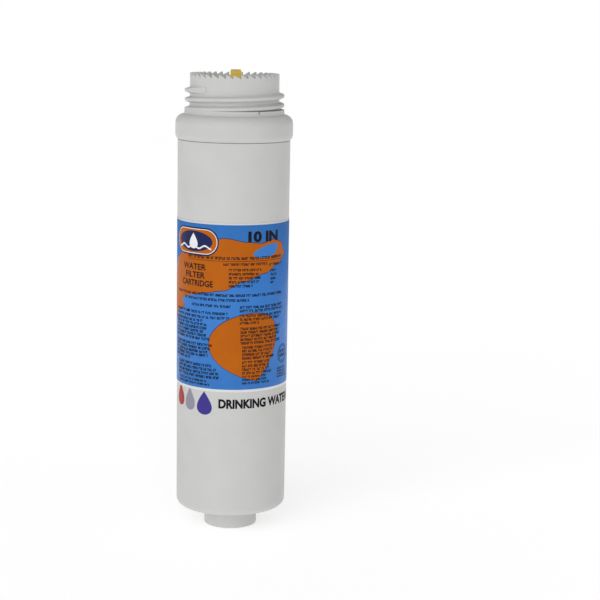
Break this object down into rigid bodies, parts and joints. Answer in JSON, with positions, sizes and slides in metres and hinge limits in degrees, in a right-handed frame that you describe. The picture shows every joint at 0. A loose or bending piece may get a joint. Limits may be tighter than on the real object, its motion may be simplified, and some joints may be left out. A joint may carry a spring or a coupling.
{
  "type": "water filter cartridge",
  "caption": "Slim quick-change water filter cartridge with a threaded neck, saw-tooth crown, snap-in key, blind boss and granular carbon inside.",
  "frame": {"origin": "on the axis, on the underside of the boss", "axes": "+Z along the axis, up to the neck; the key faces -Y"},
  "size_m": [0.0636, 0.0636, 0.2528],
  "materials": {
    "white_moulding": "satin",
    "key_plastic": "satin",
    "label_print": "satin",
    "seal_rubber": "matte",
    "inner_plastic": "satin",
    "mesh_screen": "matte",
    "coarse_fibre": "matte",
    "fine_felt": "matte",
    "open_foam": "matte",
    "granular_carbon": "matte"
  },
  "bodies": {
    "cartridge": {"sump_body": "white_moulding", "neck_cap": "white_moulding", "label_film": "label_print", "port_plate": "white_moulding", "neck_seal": "seal_rubber", "socket_washer": "seal_rubber", "riser_tube": "inner_plastic", "riser_seal": "seal_rubber", "riser_strainer": "inner_plastic", "support_plate": "inner_plastic", "bottom_screen": "mesh_screen", "coarse_bottom_pad": "coarse_fibre", "fine_bottom_pad": "fine_felt", "carbon_bed": "granular_carbon", "fine_top_pad": "fine_felt", "coarse_top_pad": "coarse_fibre", "expansion_pad": "open_foam", "top_screen": "mesh_screen", "top_diffuser": "inner_plastic"},
    "key": {"key_insert": "key_plastic"}
  },
  "joints": [
    {"name": "key_slide", "type": "slide", "parent": "cartridge", "child": "key", "axis": [0, 0, 1], "range_m": [0, 0.0065]}
  ]
}
